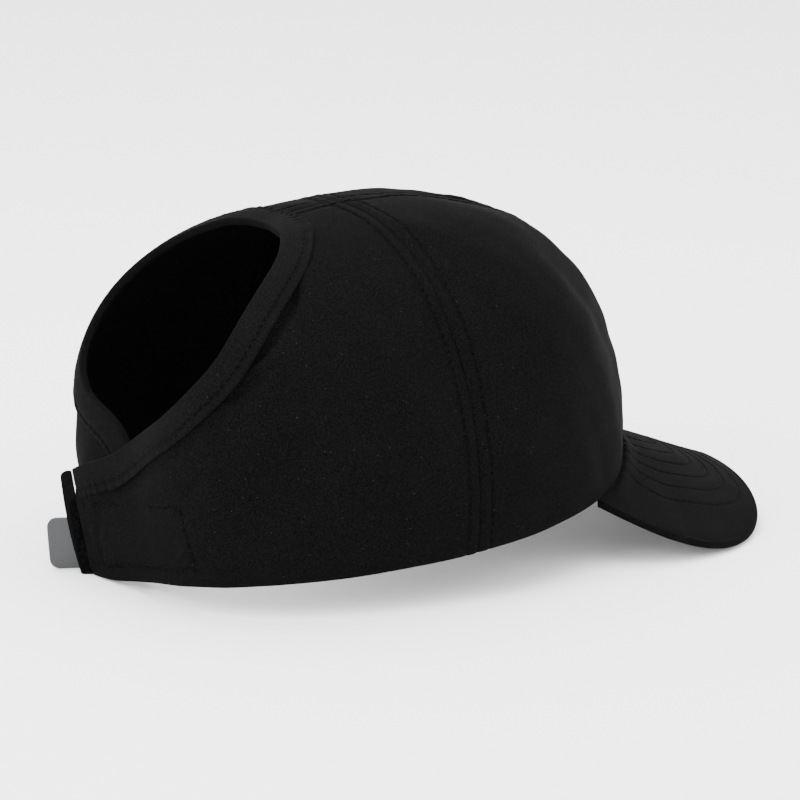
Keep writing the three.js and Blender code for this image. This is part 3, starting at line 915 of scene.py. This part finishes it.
# Lays stitches along a path that runs a little outside the cloth.
def sew(path, trees, copies, pitch=stitch["pitch"]):
    line = toRow(path)
    along = lengthsAlong(line) * 1000
    length = stitch["length"] * pitch / stitch["pitch"] / 1000
    width = stitch["width"] / 1000
    place = lambda at: Vector([np.interp(at, along, line[:, k]) for k in range(3)])
    for start in np.arange(pitch / 2, along[-1] - pitch / 2, pitch):
        hits = [tree.find_nearest(place(start)) for tree in trees]
        spot, normal = min(hits, key=lambda hit: hit[3])[:2]
        run = (place(start + 1) - place(start - 1)).normalized()
        run = (run - normal * run.dot(normal)).normalized()
        turn = Matrix((run, normal.cross(run), normal)).transposed().to_4x4()
        size = Matrix.Diagonal((length, width, width, 1))
        copy = stitchModel.copy()
        copy.data = stitchModel.data.copy()
        bpy.context.collection.objects.link(copy)
        copy.matrix_world = Matrix.Translation(spot - normal * stitch["sink"] / 1000) @ turn @ size
        copies.append(copy)


def joinStitches(name, copies, slot):
    bpy.ops.object.select_all(action="DESELECT")
    for copy in copies:
        copy.select_set(True)
    bpy.context.view_layer.objects.active = copies[0]
    bpy.ops.object.join()
    joined = bpy.context.object
    bpy.ops.object.transform_apply(location=True, rotation=True, scale=True)
    joined.name = joined.data.name = name
    finish(joined, sewingThread, slot, angle=60)


def besideSeam(turnAt, riseRange, gap, side):
    rise = np.linspace(*riseRange, 200)
    turn = turnAt(rise)
    reach = section(turn, rise)[0]
    return clothPoint(turn + np.degrees(gap / reach), rise, -stitch["startOut"], side)


crownTrees = surfaceOf(*crownPieces)
copies = []
for side in (1, -1):
    for gap in (-panel["needleGap"], panel["needleGap"]):
        sew(besideSeam(seamTurn, stitch["seamRises"], gap, side), crownTrees, copies)
    frontRow = besideSeam(lambda rise: 0 * rise, stitch["frontRises"], panel["needleGap"], side)
    sew(frontRow, crownTrees, copies)
    backRow = besideSeam(lambda rise: 180 + 0 * rise, stitch["backRises"], -panel["needleGap"], side)
    sew(backRow, crownTrees, copies)
joinStitches("crownStitches", copies, "crown_cloth")

bindingTrees = surfaceOf(bindingPiece)
share = np.linspace(stitch["bindingFrom"], 1, 300)
copies = []
for side in (1, -1):
    row = besideEdge(share, side, np.full(300, binding["stitchPlace"]), -stitch["bindingOut"])
    sew(row, bindingTrees, copies, pitch=stitch["bindingPitch"])
joinStitches("bindingStitches", copies, "binding_cloth")

# The bill's rows are drawn from above, and take their height from its nearest points.
billTrees = surfaceOf(billPiece)
copies = []
fine = billSurface(*(x.ravel() for x in np.meshgrid(np.linspace(-1, 1, 161), np.linspace(0, 1, 61))))
for path in billPaths:
    near = ((path[:, None] - fine[None, :, :2]) ** 2).sum(2).argmin(1)
    height = np.convolve(np.pad(fine[near, 2], 4, mode="edge"), np.ones(9) / 9, mode="valid")
    sew(np.column_stack([path, height + stitch["billOut"]]), billTrees, copies)
joinStitches("billStitches", copies, "bill_cloth")

copies = []
share = np.linspace(0, 1, 120)
for (turnA, riseA), (turnB, riseB) in zip(stitchedBox["corners"], stitchedBox["corners"][1:]):
    turn, rise = lerp(turnA, turnB, share), lerp(riseA, riseB, share)
    sew(clothPoint(turn, rise, -stitch["startOut"], 1), crownTrees, copies)
joinStitches("closureStitches", copies, "crown_cloth")
bpy.data.objects.remove(stitchModel)
print("stitches sewn")

# Studio
studio = {
    "cameraPlace": (-0.9212, 0.58432, 0.32709), "cameraTurn": (75.7852, -0.7418, -121.9394), "lens": 139.09,
    "floorTone": (0.92, 0.92, 0.92), "floorRough": 0.9, "floorSize": 30, "world": 2.8,
    "lampAim": (0, 0, 0.05),
}
bpy.ops.object.select_all(action="DESELECT")
bpy.ops.mesh.primitive_plane_add(size=studio["floorSize"], location=(0, 0, 0))
floor = bpy.context.object
floor.name = "floor"
floorMaterial = bpy.data.materials.new("paleFloor")
floorMaterial.use_nodes = True
floorShader = floorMaterial.node_tree.nodes["Principled BSDF"]
floorShader.inputs["Base Color"].default_value = (*studio["floorTone"], 1)
floorShader.inputs["Roughness"].default_value = studio["floorRough"]
floor.data.materials.append(floorMaterial)

lamps = {  # place, size, watts
    "overhead": ((0.1, 0.1, 1.7), 1.8, 60),
    "frontSide": ((-1.2, -1.3, 0.9), 1.2, 12),
    "backSide": ((-0.3, 1.7, 0.8), 1.2, 40),
}
for name, (place, size, watts) in lamps.items():
    light = bpy.data.lights.new(name, "AREA")
    light.size, light.energy = size, watts
    lamp = bpy.data.objects.new(name, light)
    bpy.context.collection.objects.link(lamp)
    lamp.location = place
    aim = Vector(studio["lampAim"]) - Vector(place)
    lamp.rotation_euler = aim.to_track_quat("-Z", "Y").to_euler()
world = bpy.context.scene.world or bpy.data.worlds.new("studio")
bpy.context.scene.world = world
world.use_nodes = True
world.node_tree.nodes["Background"].inputs["Color"].default_value = (1, 1, 1, 1)
world.node_tree.nodes["Background"].inputs["Strength"].default_value = studio["world"]

view = bpy.data.cameras.new("camera")
view.lens, view.sensor_width, view.clip_end = studio["lens"], 36, 60
camera = bpy.data.objects.new("camera", view)
bpy.context.collection.objects.link(camera)
camera.location = studio["cameraPlace"]
camera.rotation_euler = [math.radians(angle) for angle in studio["cameraTurn"]]
bpy.context.scene.camera = camera
print("studio lit")
